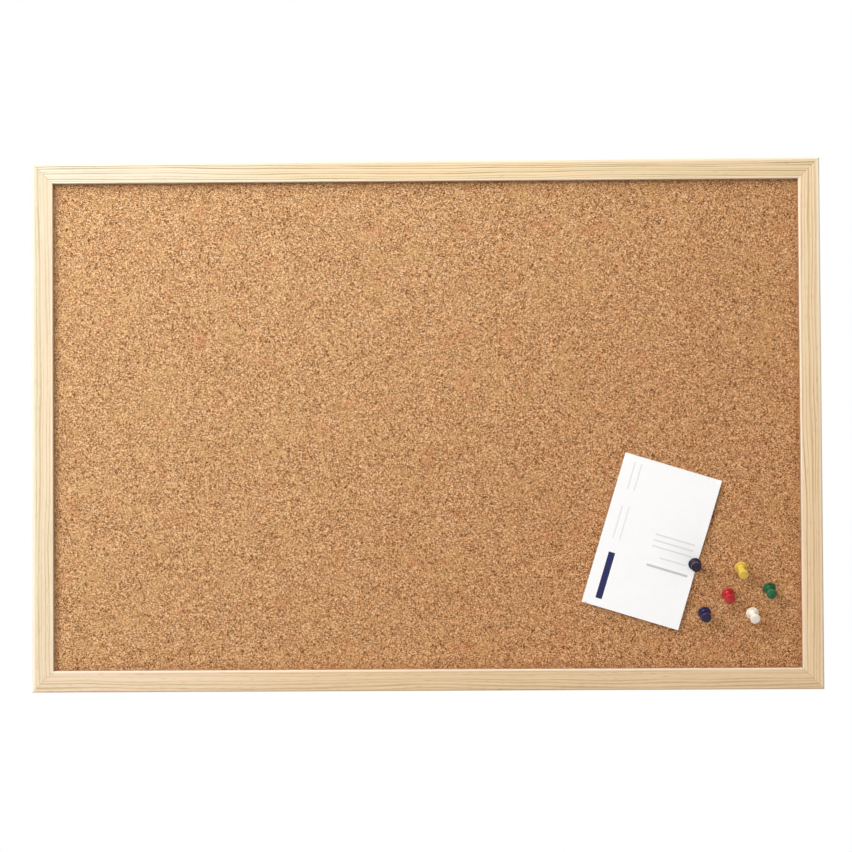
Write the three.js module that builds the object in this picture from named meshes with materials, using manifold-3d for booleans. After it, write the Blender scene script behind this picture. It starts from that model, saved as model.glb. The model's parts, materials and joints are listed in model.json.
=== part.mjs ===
// A framed cork notice board with six push pins and one pinned note card.
// Millimetres. +Z is up, +X is to the right of someone facing the board, and the cork faces -Y.
// The origin is the centre of the board's back, in the plane of the frame's back faces.

import * as THREE from 'three';
import { mergeVertices } from 'three/addons/utils/BufferGeometryUtils.js';
import Module from 'manifold-3d';

const wasm = await Module();
wasm.setup();

// Frame moulding
const boardWidth = 595;
const boardHeight = 400;
const frameDepth = 17;
const frameFaceWidth = 16;
const lipDepth = 4.5;
const rabbetWidth = 6;
const outerEaseRadius = 1.5;
const innerEaseRadius = 0.7;
const backEase = 0.5;
const mitreGap = 0.1;
const easeSegments = 5;

// Sheets that lie in the rabbet, front to back
const corkThickness = 2.5;
const coreThickness = 5.5;
const panelThickness = 2;
const sheetEdgeGap = 0.6;
const sheetFaceGap = 0.1;

// V-shaped corner nails, pressed into the back of each mitre
const vNailLeg = 5.2;
const vNailThickness = 0.6;
const vNailLength = 9;
const vNailInset = 5;
const vNailSink = 0.4;
const vNailHalfAngle = THREE.MathUtils.degToRad(52);

// Flat steel points that hold the back panel in the rabbet
const pointWidth = 5.5;
const pointThickness = 0.6;
const pointEmbed = 6.5;
const pointReach = 7.5;
const pointTipLength = 3;
const pointTailRadius = 1.5;
const pointsPerRail = 3;
const pointsPerStile = 2;

// Ring hangers on the backs of the stiles
const hangerDrop = 70;
const hangerEdgeMargin = 0.2;
const strapWidth = 7;
const strapThickness = 0.8;
const strapLength = 20.5;
const knuckleClearance = 0.2;
const knuckleMouth = THREE.MathUtils.degToRad(-15);
const knuckleSegments = 12;
const ringWireRadius = 0.9;
const ringInnerWidth = 7.6;
const ringLegLength = 3.4;
const ringCornerRadius = 1.4;
const ringButtGap = 0.3;
const ringRestGap = 0.3;
const ringSteps = 40;
const ringSides = 8;

// Pan-head screws of the hangers
const screwDrop = 4.9;
const screwSpacing = 11.2;
const screwHeadRadius = 2.2;
const screwHeadHeight = 1.3;
const screwHeadRim = 0.5;
const screwShankRadius = 1.2;
const screwShankLength = 10;
const screwTipLength = 2.5;
const screwRecessWidth = 0.6;
const screwRecessSpan = 2.6;
const screwRecessDepth = 0.8;
const screwSegments = 16;
const screwCurveSegments = 2;

// Push pins: a moulded head on a steel needle
const pinFlangeRadius = 4.9;
const pinFlangeThickness = 1.7;
const pinWaistRadius = 2.5;
const pinWaistHeight = 3.4;
const pinNeckRadius = 3.05;
const pinCapRadius = 3.8;
const pinCapThickness = 2.5;
const pinCapEase = 0.8;
const pinCapDome = 0.4;
const pinHeadHeight = 12;
const needleRadius = 0.55;
const needleLength = 9;
const needleTipLength = 2.2;
const needleSocketDepth = 6;
const needleSocketGap = 0.06;
const pinSegments = 24;
const pinCurveSegments = 3;
const needleSegments = 12;

// Note card, pinned near the middle of its right long edge
const cardLength = 117;
const cardWidth = 75.5;
const cardThickness = 0.4;
const cardStandOff = 0.6;
const cardPinInset = 1.9;
const cardPinBelowMiddle = 7;
const cardTilt = THREE.MathUtils.degToRad(16.9);

// Gaps: round a fastener in its hole, and under a piece that rests on another
const holeClearance = 0.25;
const seatGap = 0.3;
const cutOverrun = 2;
const mergeTolerance = 1e-4;

// Where each pin enters the cork, as shares of half the visible cork's width and height from its
// centre, and how far and which way its head leans, in degrees. The heading is seen from the
// front, anticlockwise from the right.
const pinPlaceShares = {
  card: [0.716, -0.574],
  yellow: [0.837, -0.579],
  green: [0.914, -0.671],
  red: [0.804, -0.695],
  blue: [0.74, -0.77],
  white: [0.867, -0.772],
};
const pinLean = { card: 9, yellow: 30, green: 21, red: 17, blue: 17, white: 20 };
const pinHeading = { card: -108, yellow: -85, green: -95, red: -97, blue: -92, white: -82 };

// Sizes that follow from those above
const visibleCorkWidth = boardWidth - 2 * frameFaceWidth;
const visibleCorkHeight = boardHeight - 2 * frameFaceWidth;
const backFaceWidth = frameFaceWidth - rabbetWidth;
const sheetWidth = boardWidth - 2 * (backFaceWidth + sheetEdgeGap);
const sheetHeight = boardHeight - 2 * (backFaceWidth + sheetEdgeGap);
const corkFaceY = -frameDepth + lipDepth + sheetFaceGap;
const coreFaceY = corkFaceY + corkThickness + sheetFaceGap;
const panelFaceY = coreFaceY + coreThickness + sheetFaceGap;
const panelBackY = panelFaceY + panelThickness;
const knuckleRadius = ringWireRadius + knuckleClearance;
const ringAxisHeight = strapThickness + knuckleRadius;
const ringHalfWidth = ringInnerWidth / 2 + ringWireRadius;
const ringReach = ringCornerRadius + ringLegLength + ringHalfWidth;
const hangerX = boardWidth / 2 - ringHalfWidth - ringWireRadius - hangerEdgeMargin;
const hangerZ = boardHeight / 2 - hangerDrop;
const screwDrops = [screwDrop, screwDrop + screwSpacing];
const cardBackY = corkFaceY - cardStandOff;
const cardFrontY = cardBackY - cardThickness;

const finishes = {
  pine: { color: 0xe6d2a8, roughness: 0.62, metalness: 0 },
  cork: { color: 0xc99869, roughness: 0.93, metalness: 0 },
  softboard: { color: 0xb49a74, roughness: 0.95, metalness: 0 },
  hardboard: { color: 0x8a6240, roughness: 0.8, metalness: 0 },
  steel: { color: 0xb9bcc0, roughness: 0.35, metalness: 1 },
  zincPlate: { color: 0xc8cbcf, roughness: 0.42, metalness: 1 },
  card: { color: 0xf6f6f4, roughness: 0.6, metalness: 0 },
  navyPlastic: { color: 0x2a2860, roughness: 0.28, metalness: 0 },
  yellowPlastic: { color: 0xe3b92e, roughness: 0.28, metalness: 0 },
  greenPlastic: { color: 0x1f7a4a, roughness: 0.28, metalness: 0 },
  redPlastic: { color: 0xc0282e, roughness: 0.28, metalness: 0 },
  whitePlastic: { color: 0xeee4d4, roughness: 0.28, metalness: 0 },
};

function piece(name, geometry, finish) {
  const mesh = new THREE.Mesh(geometry, new THREE.MeshStandardMaterial(finishes[finish]));
  mesh.name = name;
  return mesh;
}

// A closed geometry, moved by a matrix, as a solid that can be cut
function solidOf(geometry, matrix = new THREE.Matrix4()) {
  const bare = geometry.clone().applyMatrix4(matrix);
  bare.deleteAttribute('normal');
  bare.deleteAttribute('uv');
  const merged = mergeVertices(bare, mergeTolerance);
  return new wasm.Manifold(new wasm.Mesh({
    numProp: 3,
    vertProperties: merged.attributes.position.array,
    triVerts: new Uint32Array(merged.index.array),
  }));
}

function geometryOf(solid) {
  const { vertProperties, triVerts } = solid.getMesh();
  const geometry = new THREE.BufferGeometry();
  geometry.setAttribute('position', new THREE.BufferAttribute(vertProperties, 3));
  geometry.setIndex(new THREE.BufferAttribute(triVerts, 1));
  geometry.computeVertexNormals();
  return geometry;
}

// Takes a cutter that is placed in the board's frame out of a mesh
function carve(mesh, cutter, placement) {
  mesh.updateWorldMatrix(true, false);
  const toMesh = mesh.matrixWorld.clone().invert().multiply(placement);
  mesh.geometry = geometryOf(solidOf(mesh.geometry).subtract(solidOf(cutter, toMesh)));
}

function extrude(shape, depth, curveSegments = easeSegments) {
  return new THREE.ExtrudeGeometry(shape, { depth, bevelEnabled: false, curveSegments });
}

// A turned solid about +Z from a profile of (radius, height) points
function turned(profile, segments) {
  return new THREE.LatheGeometry(profile, segments).rotateX(Math.PI / 2);
}

// The moulding's section: x from the outer edge inwards, y from the back to the front
function mouldingSection() {
  const lipBack = frameDepth - lipDepth;
  const section = new THREE.Shape();
  section.moveTo(backEase, 0);
  section.lineTo(backFaceWidth, 0);
  section.lineTo(backFaceWidth, lipBack);
  section.lineTo(frameFaceWidth, lipBack);
  section.lineTo(frameFaceWidth, frameDepth - innerEaseRadius);
  section.absarc(frameFaceWidth - innerEaseRadius, frameDepth - innerEaseRadius,
    innerEaseRadius, 0, Math.PI / 2, false);
  section.lineTo(outerEaseRadius, frameDepth);
  section.absarc(outerEaseRadius, frameDepth - outerEaseRadius,
    outerEaseRadius, Math.PI / 2, Math.PI, false);
  section.lineTo(0, backEase);
  section.closePath();
  return section;
}

// A length of moulding with both ends sawn at 45 degrees, so that it is shorter at its inner edge
function mitredMoulding(length) {
  const geometry = extrude(mouldingSection(), length);
  const position = geometry.attributes.position;
  const sawn = mitreGap * Math.SQRT1_2;
  for (let i = 0; i < position.count; i++) {
    const shortening = position.getX(i) + sawn;
    const atFarEnd = position.getZ(i) > length / 2;
    position.setZ(i, atFarEnd ? length / 2 - shortening : shortening - length / 2);
  }
  geometry.computeVertexNormals();
  return geometry;
}

// Each side's direction from the board's centre to its outer edge
const sides = {
  frame_rail_top: { out: new THREE.Vector3(0, 0, 1), length: boardWidth, reach: boardHeight / 2 },
  frame_rail_bottom: { out: new THREE.Vector3(0, 0, -1), length: boardWidth, reach: boardHeight / 2 },
  frame_stile_left: { out: new THREE.Vector3(-1, 0, 0), length: boardHeight, reach: boardWidth / 2 },
  frame_stile_right: { out: new THREE.Vector3(1, 0, 0), length: boardHeight, reach: boardWidth / 2 },
};

const front = new THREE.Vector3(0, -1, 0);

// The matrix that lays x towards the board's centre and y towards the front, at a side's outer edge
function sidePlacement({ out, reach }) {
  const inwards = out.clone().negate();
  const along = inwards.clone().cross(front);
  return new THREE.Matrix4().makeBasis(inwards, front, along)
    .setPosition(out.clone().multiplyScalar(reach));
}

function frameRails() {
  return Object.entries(sides).map(([name, side]) => {
    const rail = piece(name, mitredMoulding(side.length), 'pine');
    rail.applyMatrix4(sidePlacement(side));
    return rail;
  });
}

function sheet(name, thickness, faceY, finish) {
  const geometry = new THREE.BoxGeometry(sheetWidth, thickness, sheetHeight);
  const mesh = piece(name, geometry, finish);
  mesh.position.y = faceY + thickness / 2;
  return mesh;
}

// The nail: two legs from an apex at the origin, opening along +x, driven along +z. Its slot is
// grown all round by a clearance, and starts outside the wood
function vNail(grow, openEnd) {
  const apex = -grow / Math.sin(vNailHalfAngle);
  const thickness = vNailThickness + 2 * grow;
  const leg = vNailLeg + 2 * grow;
  const [c, s] = [Math.cos(vNailHalfAngle), Math.sin(vNailHalfAngle)];
  const shape = new THREE.Shape();
  shape.moveTo(apex, 0);
  shape.lineTo(apex + leg * c, -leg * s);
  shape.lineTo(apex + leg * c + thickness * s, -leg * s + thickness * c);
  shape.lineTo(apex + thickness / s, 0);
  shape.lineTo(apex + leg * c + thickness * s, leg * s - thickness * c);
  shape.lineTo(apex + leg * c, leg * s);
  shape.closePath();
  return extrude(shape, vNailLength + grow + openEnd).translate(0, 0, -openEnd);
}

function vNailPlacements() {
  const corners = [];
  for (const [row, up] of [['top', 1], ['bottom', -1]]) {
    for (const [column, right] of [['left', -1], ['right', 1]]) {
      const inwards = new THREE.Vector3(-right, 0, -up).normalize();
      const across = front.clone().cross(inwards);
      const corner = new THREE.Vector3(right * boardWidth / 2, -vNailSink, up * boardHeight / 2);
      const placement = new THREE.Matrix4().makeBasis(inwards, across, front)
        .setPosition(corner.addScaledVector(inwards, vNailInset));
      corners.push({ name: `corner_vnail_${row}_${column}`, placement });
    }
  }
  return corners;
}

// The point's outline: x from the rabbet's wall over the panel, y along the side
function panelPoint() {
  const half = pointWidth / 2;
  const shape = new THREE.Shape();
  shape.moveTo(-pointEmbed, 0);
  shape.lineTo(-pointEmbed + pointTipLength, -half);
  shape.lineTo(pointReach - pointTailRadius, -half);
  shape.absarc(pointReach - pointTailRadius, -half + pointTailRadius,
    pointTailRadius, -Math.PI / 2, 0, false);
  shape.absarc(pointReach - pointTailRadius, half - pointTailRadius,
    pointTailRadius, 0, Math.PI / 2, false);
  shape.lineTo(-pointEmbed + pointTipLength, half);
  shape.closePath();
  return extrude(shape, pointThickness);
}

function pointSlot() {
  const depth = pointEmbed + holeClearance + cutOverrun;
  return new THREE.BoxGeometry(depth, pointWidth + 2 * holeClearance, pointThickness + 2 * holeClearance)
    .translate(cutOverrun - depth / 2, 0, pointThickness / 2);
}

function pointPlacements() {
  const backwards = front.clone().negate();
  return Object.entries(sides).flatMap(([name, { out, length, reach }]) => {
    const count = length === boardWidth ? pointsPerRail : pointsPerStile;
    const inwards = out.clone().negate();
    const along = backwards.clone().cross(inwards);
    return Array.from({ length: count }, (_, i) => {
      const place = out.clone().multiplyScalar(reach - backFaceWidth)
        .addScaledVector(along, ((i + 0.5) / count - 0.5) * length);
      place.y = panelBackY + sheetFaceGap;
      return {
        name: `panel_point_${name.split('_').pop()}_${i + 1}`,
        side: name,
        placement: new THREE.Matrix4().makeBasis(inwards, along, backwards).setPosition(place),
      };
    });
  });
}

// The strap's side view: x down the strap from the ring's axis, y away from the board
function strapSection() {
  const outer = knuckleRadius + strapThickness;
  const section = new THREE.Shape();
  section.moveTo(strapLength, 0);
  section.lineTo(0, 0);
  section.absarc(0, ringAxisHeight, outer, -Math.PI / 2, knuckleMouth, true);
  section.absarc(0, ringAxisHeight, knuckleRadius, knuckleMouth, -Math.PI / 2, false);
  section.lineTo(strapLength, strapThickness);
  section.closePath();
  return section;
}

function circle(x, y, radius) {
  const hole = new THREE.Path();
  return hole.absarc(x, y, radius, 0, 2 * Math.PI, true);
}

// The strap seen from behind: a strip with one round end and two screw holes
function strapOutline() {
  const half = strapWidth / 2;
  const top = knuckleRadius + strapThickness + cutOverrun;
  const outline = new THREE.Shape();
  outline.moveTo(half, top);
  outline.lineTo(-half, top);
  outline.lineTo(-half, half - strapLength);
  outline.absarc(0, half - strapLength, half, Math.PI, 2 * Math.PI, false);
  outline.closePath();
  for (const drop of screwDrops) {
    outline.holes.push(circle(0, -drop, screwShankRadius + holeClearance));
  }
  return outline;
}

function hangerStrap() {
  const bent = extrude(strapSection(), strapWidth, knuckleSegments)
    .translate(0, 0, -strapWidth / 2)
    .rotateY(Math.PI / 2);
  const height = 2 * (knuckleRadius + strapThickness) + 2 * cutOverrun;
  const outline = extrude(strapOutline(), height, knuckleSegments / 2)
    .rotateX(Math.PI / 2)
    .translate(0, height - cutOverrun, 0);
  return geometryOf(solidOf(bent).intersect(solidOf(outline)));
}

// The ring's wire runs from the middle of its straight leg round the bow and back
class RingLine extends THREE.Curve {
  constructor() {
    super();
    const corner = ringHalfWidth - ringCornerRadius;
    const shoulder = ringCornerRadius + ringLegLength;
    this.line = new THREE.Path();
    this.line.moveTo(ringButtGap / 2, 0);
    this.line.lineTo(corner, 0);
    this.line.absarc(corner, ringCornerRadius, ringCornerRadius, -Math.PI / 2, 0, false);
    this.line.lineTo(ringHalfWidth, shoulder);
    this.line.absarc(0, shoulder, ringHalfWidth, 0, Math.PI, false);
    this.line.lineTo(-ringHalfWidth, ringCornerRadius);
    this.line.absarc(-corner, ringCornerRadius, ringCornerRadius, Math.PI, 1.5 * Math.PI, false);
    this.line.lineTo(-ringButtGap / 2, 0);
  }

  getPoint(t, target = new THREE.Vector3()) {
    const point = this.line.getPoint(t);
    return target.set(point.x, 0, point.y);
  }
}

function hangerRing() {
  const wire = new THREE.Shape();
  wire.absarc(0, 0, ringWireRadius, 0, 2 * Math.PI, false);
  return new THREE.ExtrudeGeometry(wire, {
    extrudePath: new RingLine(),
    steps: ringSteps,
    curveSegments: ringSides / 2,
  });
}

// A screw along +Z with the underside of its head at the origin
function hangerScrew() {
  const profile = new THREE.Path();
  profile.moveTo(0, -screwShankLength);
  profile.lineTo(screwShankRadius, -screwShankLength + screwTipLength);
  profile.lineTo(screwShankRadius, 0);
  profile.lineTo(screwHeadRadius, 0);
  profile.lineTo(screwHeadRadius, screwHeadRim);
  profile.quadraticCurveTo(screwHeadRadius, screwHeadHeight, screwRecessSpan / 2, screwHeadHeight);
  profile.lineTo(0, screwHeadHeight);
  let head = solidOf(turned(profile.getPoints(screwCurveSegments), screwSegments));
  const height = screwRecessDepth + cutOverrun;
  const slot = new THREE.BoxGeometry(screwRecessSpan, screwRecessWidth, height)
    .translate(0, 0, screwHeadHeight - screwRecessDepth + height / 2);
  for (const turn of [0, Math.PI / 2]) {
    head = head.subtract(solidOf(slot, new THREE.Matrix4().makeRotationZ(turn)));
  }
  return geometryOf(head);
}

function screwHole() {
  const radius = screwShankRadius + holeClearance;
  const profile = new THREE.Path();
  profile.moveTo(0, -screwShankLength - holeClearance);
  profile.lineTo(radius, -screwShankLength + screwTipLength - holeClearance);
  profile.lineTo(radius, cutOverrun);
  profile.lineTo(0, cutOverrun);
  return turned(profile.getPoints(1), screwSegments);
}

// A strap, its ring and its two screws, on the back of one stile
function hanger(side, right, stile) {
  const group = new THREE.Group();
  group.position.set(right * hangerX, 0, hangerZ);
  group.add(piece(`hanger_strap_${side}`, hangerStrap(), 'zincPlate'));
  const ring = piece(`hanger_ring_${side}`, hangerRing(), 'zincPlate');
  ring.position.y = ringAxisHeight;
  ring.rotation.x = Math.asin((ringAxisHeight - ringWireRadius - ringRestGap) / ringReach);
  group.add(ring);
  screwDrops.forEach((drop, i) => {
    const screw = piece(`hanger_screw_${side}_${['upper', 'lower'][i]}`, hangerScrew(), 'zincPlate');
    screw.position.set(0, strapThickness, -drop);
    screw.rotation.x = -Math.PI / 2;
    group.add(screw);
    screw.updateWorldMatrix(true, false);
    carve(stile, screwHole(), screw.matrixWorld);
  });
  return group;
}

// The head, turned about +Z with the underside of its flange at the origin and a blind socket
function pinHead() {
  const socketRadius = needleRadius + needleSocketGap;
  const rim = pinFlangeThickness / 2;
  const capStart = pinHeadHeight - pinCapDome - pinCapThickness;
  const capEnd = pinHeadHeight - pinCapDome;
  const profile = new THREE.Path();
  profile.moveTo(0, needleSocketDepth + needleSocketGap);
  profile.lineTo(socketRadius, needleSocketDepth + needleSocketGap);
  profile.lineTo(socketRadius, 0);
  profile.lineTo(pinFlangeRadius - rim, 0);
  profile.absarc(pinFlangeRadius - rim, rim, rim, -Math.PI / 2, Math.PI / 2, false);
  profile.quadraticCurveTo(pinWaistRadius, pinFlangeThickness, pinWaistRadius, pinWaistHeight);
  profile.quadraticCurveTo(pinWaistRadius, capStart - pinCapEase, pinNeckRadius, capStart);
  profile.quadraticCurveTo(pinCapRadius, capStart, pinCapRadius, capStart + pinCapEase);
  profile.lineTo(pinCapRadius, capEnd - pinCapEase);
  profile.absarc(pinCapRadius - pinCapEase, capEnd - pinCapEase, pinCapEase, 0, Math.PI / 2, false);
  profile.quadraticCurveTo(pinWaistRadius / 2, pinHeadHeight, 0, pinHeadHeight);
  return turned(profile.getPoints(pinCurveSegments), pinSegments);
}

// The needle below the flange, or with a clearance the hole that it makes
function needle(clearance, topHeight) {
  const radius = needleRadius + clearance;
  const profile = new THREE.Path();
  profile.moveTo(0, -needleLength - clearance);
  profile.lineTo(radius, -needleLength + needleTipLength - clearance);
  profile.lineTo(radius, topHeight);
  profile.lineTo(0, topHeight);
  return turned(profile.getPoints(1), needleSegments);
}

// A pin's frame: +Z along its axis away from the board, the origin under its flange, high enough
// that the leaning flange's lowest rim just clears what it presses on
function pinPlacement(name, restingY) {
  const [acrossShare, upShare] = pinPlaceShares[name];
  const lean = THREE.MathUtils.degToRad(pinLean[name]);
  const heading = THREE.MathUtils.degToRad(pinHeading[name]);
  const axis = new THREE.Vector3(Math.sin(lean) * Math.cos(heading), -Math.cos(lean),
    Math.sin(lean) * Math.sin(heading));
  const entry = new THREE.Vector3(acrossShare * visibleCorkWidth / 2, corkFaceY,
    upShare * visibleCorkHeight / 2);
  const lift = (corkFaceY - restingY + seatGap + pinFlangeRadius * Math.sin(lean)) / Math.cos(lean);
  const turn = new THREE.Quaternion().setFromUnitVectors(new THREE.Vector3(0, 0, 1), axis);
  return new THREE.Matrix4().makeRotationFromQuaternion(turn)
    .setPosition(entry.addScaledVector(axis, lift));
}

function pushPin(name, finish, placement, pierced) {
  const group = new THREE.Group();
  group.applyMatrix4(placement);
  group.add(piece(`push_pin_${name}_head`, pinHead(), finish));
  group.add(piece(`push_pin_${name}_needle`, needle(0, needleSocketDepth), 'steel'));
  const hole = needle(holeClearance, needleSocketDepth);
  for (const mesh of pierced) carve(mesh, hole, placement);
  return group;
}

// The card turns about the point where its pin's needle passes through it, which is its origin
function noteCard(placement) {
  const geometry = new THREE.BoxGeometry(cardWidth, cardThickness, cardLength)
    .translate(cardPinInset - cardWidth / 2, 0, cardPinBelowMiddle);
  const card = piece('note_card', geometry, 'card');
  const flange = new THREE.Vector3().setFromMatrixPosition(placement);
  const axis = new THREE.Vector3().setFromMatrixColumn(placement, 2);
  const middleY = (cardBackY + cardFrontY) / 2;
  card.position.copy(flange.addScaledVector(axis, (middleY - flange.y) / axis.y));
  card.rotation.y = cardTilt;
  return card;
}

const board = new THREE.Group();
const rails = frameRails();
const [, , stileLeft, stileRight] = rails;
const cork = sheet('cork_sheet', corkThickness, corkFaceY, 'cork');
const core = sheet('core_board', coreThickness, coreFaceY, 'softboard');
const panel = sheet('back_panel', panelThickness, panelFaceY, 'hardboard');
board.add(...rails, cork, core, panel);

for (const { name, placement } of vNailPlacements()) {
  const nail = piece(name, vNail(0, 0), 'steel');
  nail.applyMatrix4(placement);
  board.add(nail);
  const slot = vNail(holeClearance, vNailSink + cutOverrun);
  for (const rail of rails) carve(rail, slot, placement);
}

for (const { name, side, placement } of pointPlacements()) {
  const point = piece(name, panelPoint(), 'steel');
  point.applyMatrix4(placement);
  board.add(point);
  carve(rails.find((rail) => rail.name === side), pointSlot(), placement);
}

board.add(hanger('left', -1, stileLeft), hanger('right', 1, stileRight));

const cardPinPlacement = pinPlacement('card', cardFrontY);
const card = noteCard(cardPinPlacement);
board.add(card);
board.add(pushPin('card', 'navyPlastic', cardPinPlacement, [card, cork, core, panel]));

const looseHeads = {
  yellow: 'yellowPlastic',
  green: 'greenPlastic',
  red: 'redPlastic',
  blue: 'navyPlastic',
  white: 'whitePlastic',
};
for (const [name, finish] of Object.entries(looseHeads)) {
  board.add(pushPin(name, finish, pinPlacement(name, corkFaceY), [cork, core, panel]));
}

export default board;
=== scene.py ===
import json
import math
import random

import bmesh
import bpy
from mathutils import Matrix, Vector


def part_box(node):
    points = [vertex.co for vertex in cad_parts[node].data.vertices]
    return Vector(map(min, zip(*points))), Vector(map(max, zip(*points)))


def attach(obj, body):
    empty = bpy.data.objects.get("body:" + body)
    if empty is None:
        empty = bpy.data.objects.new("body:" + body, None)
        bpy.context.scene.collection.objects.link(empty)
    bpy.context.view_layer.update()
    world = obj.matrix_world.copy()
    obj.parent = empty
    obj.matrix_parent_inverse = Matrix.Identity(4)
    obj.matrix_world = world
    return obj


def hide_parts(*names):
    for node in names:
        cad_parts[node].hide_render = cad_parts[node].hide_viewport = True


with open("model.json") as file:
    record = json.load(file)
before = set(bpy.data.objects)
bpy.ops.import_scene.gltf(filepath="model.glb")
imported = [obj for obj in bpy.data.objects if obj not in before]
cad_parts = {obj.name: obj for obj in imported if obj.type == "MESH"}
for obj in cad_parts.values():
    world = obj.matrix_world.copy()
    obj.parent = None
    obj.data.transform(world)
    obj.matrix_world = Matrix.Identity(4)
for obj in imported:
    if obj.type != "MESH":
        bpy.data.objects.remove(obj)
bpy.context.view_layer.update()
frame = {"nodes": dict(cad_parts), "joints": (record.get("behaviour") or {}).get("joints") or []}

# A cork notice board in a pine frame, with push pins and a note card. Metres, in the board's frame:
# +Z is up, +X is to the right of someone facing the board, and the cork faces -Y.
mm = 0.001


def srgb(red, green, blue):
    """A colour given as it looks on a screen, 0 to 255, as the linear colour that nodes take."""
    shares = [value / 255 for value in (red, green, blue)]
    linear = [share / 12.92 if share <= 0.04045 else ((share + 0.055) / 1.055) ** 2.4 for share in shares]
    return (*linear, 1.0)


white = (1.0, 1.0, 1.0, 1.0)

# The board, read from its frame and its cork
rail_low, rail_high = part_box("frame_rail_top")
frame_face_width = rail_high.z - rail_low.z
cork_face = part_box("cork_sheet")[0].y
visible_half_width = rail_high.x - frame_face_width
visible_half_height = rail_high.z - frame_face_width

# Camera at the photograph's angle
camera_place = Vector((10.8, -1217.1, -20.7)) * mm
camera_angles = [math.radians(angle) for angle in (90.94, 0.34, 0.52)]
camera_lens = 67.4

# Light: a large soft lamp and a small crisp one up to the left, and a soft one behind. For each, where it
# stands as seen from the board, its distance, width, height and power
lamp_colour = (0.97, 1.0, 1.05)
lamps = {
    "soft_lamp": ((-0.6, -1.0, 1.1), 1.12, 1.0, 1.8, 13.2),
    "crisp_lamp": ((-1.05, -1.0, 0.6), 2.2, 0.14, 0.14, 13.0),
    "back_lamp": ((0.5, 1.0, 0.8), 1.8, 1.2, 1.2, 14.0),
}

# A pale room and floor
room_colour = (1.0, 0.94, 0.87, 1.0)
room_fill_below = 0.32
room_fill_above = 0.6
floor_height = -0.9
floor_radius = 1.6
floor_grey = (0.6, 0.6, 0.6, 1.0)
floor_glow = 0.7

# Copies of CAD pieces: how near corners are joined, how nearly flat neighbouring faces are that become one,
# and how sharp the edges are that get eased
joining_distance = 0.002 * mm
flat_angle = math.radians(0.2)
eased_angle = math.radians(50)

# Push pins
pins = {
    "card": ("black_navy", "navy_plastic"),
    "yellow": ("yellow", "yellow_plastic"),
    "green": ("green", "green_plastic"),
    "red": ("red", "red_plastic"),
    "blue": ("navy", "navy_plastic"),
    "white": ("white", "white_plastic"),
}
flange_radius = 4.86 * mm
flange_thickness = 1.7 * mm
waist_radius = 2.5 * mm
waist_height = 3.4 * mm
neck_radius = 3.05 * mm
cap_radius = 3.77 * mm
cap_thickness = 2.5 * mm
cap_ease = 0.8 * mm
cap_dome = 0.4 * mm
gate_radius = 0.55 * mm
gate_height = 0.12 * mm
head_height = 11.96 * mm
needle_radius = 0.55 * mm
needle_length = 9 * mm
needle_tip_length = 2.2 * mm
needle_tip_radius = 0.06 * mm
socket_depth = 6 * mm
socket_gap = 0.06 * mm
turning_segments = 64
curve_steps = 10

# Ring hangers
hanger_x = 291.7 * mm
hanger_z = 130 * mm
steel_edge_ease = 0.1 * mm
ring_axis_height = 1.9 * mm
ring_wire_radius = 0.88 * mm
ring_half_width = 4.7 * mm
ring_leg_length = 3.4 * mm
ring_corner_radius = 1.4 * mm
ring_butt_gap = 0.3 * mm
ring_lean = math.radians(4.23)
ring_wire_sides = 20

# Pan-head screws of the hangers, their heads' undersides on the straps
screw_seat = 0.8 * mm
screw_drops = (4.9 * mm, 16.1 * mm)
screw_head_radius = 2.18 * mm
screw_head_height = 1.3 * mm
screw_head_rim = 0.35 * mm
screw_shank_radius = 1.2 * mm
screw_shank_length = 10 * mm
screw_tip_length = 2.5 * mm
recess_half_span = 1.25 * mm
recess_half_width = 0.28 * mm
recess_depth = 0.8 * mm
recess_taper = 0.55

# Note card
card_tilt = math.radians(16.9)
card_lift = 1.7 * mm
card_press_radius = 16 * mm
card_corner_curl = 0.6 * mm
card_grid = 3.5 * mm

# The cork: how far its crumbs stay from the pins, how much painted shade darkens its rim along the frame,
# where the lip's shadow falls, and the painted shade, darker and warmer, that it drifts to down and to the
# right, away from the lamps
pin_clearance = 1.2 * mm
cork_rim_painted_shade = 0.16
cork_painted_shade_span = (2 * mm, 8 * mm)
cork_painted_falloff = (0.95, 0.83, 0.78, 1.0)
cork_painted_falloff_span = (-300 * mm, 465 * mm)

# Loose granules on it: finish, seed, corners, number on a square metre, smallest and largest width. Then how
# flat they are, how far they stay from the frame, stand out and lean, and the power that makes most small
crumb_kinds = {
    "pale_cork_crumbs": ("pale_crumb", 3, 7, 26000.0, 0.6 * mm, 1.9 * mm),
    "dark_cork_flecks": ("dark_fleck", 5, 6, 42000.0, 0.4 * mm, 2.4 * mm),
}
crumb_flatness = 0.12
crumb_inset = 1.5 * mm
crumb_stand = 0.02 * mm
crumb_lean = 0.25
crumb_size_power = 1.7

# Its coarse and fine granules: width, warp and seed. Its tints, and its soft clouds: scale, detail, seed, the
# noise between which each sets in, its share and its tint
cork_granule_kinds = ((1.3 * mm, 0.9 * mm, 1.0), (0.42 * mm, 0.25 * mm, 4.0))
fine_granule_share = 0.78
cork_tints = {
    "dark": srgb(120, 68, 13),
    "pale": srgb(244, 195, 141),
    "seam": srgb(110, 60, 20),
    "dark_speck": srgb(96, 50, 12),
    "pale_speck": srgb(255, 222, 178),
    # the rim tint is painted shade along the frame's lip
    "rim": srgb(110, 66, 30),
}
cork_clouds = {
    "bark": (210.0, 2.0, 9.0, 0.6, 0.74, 0.4, srgb(156, 104, 58)),
    "reddish": (60.0, 3.0, 2.0, 0.55, 0.72, 0.34, srgb(206, 134, 92)),
    "golden": (45.0, 3.0, 3.0, 0.5, 0.75, 0.3, srgb(212, 172, 108)),
}

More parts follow.
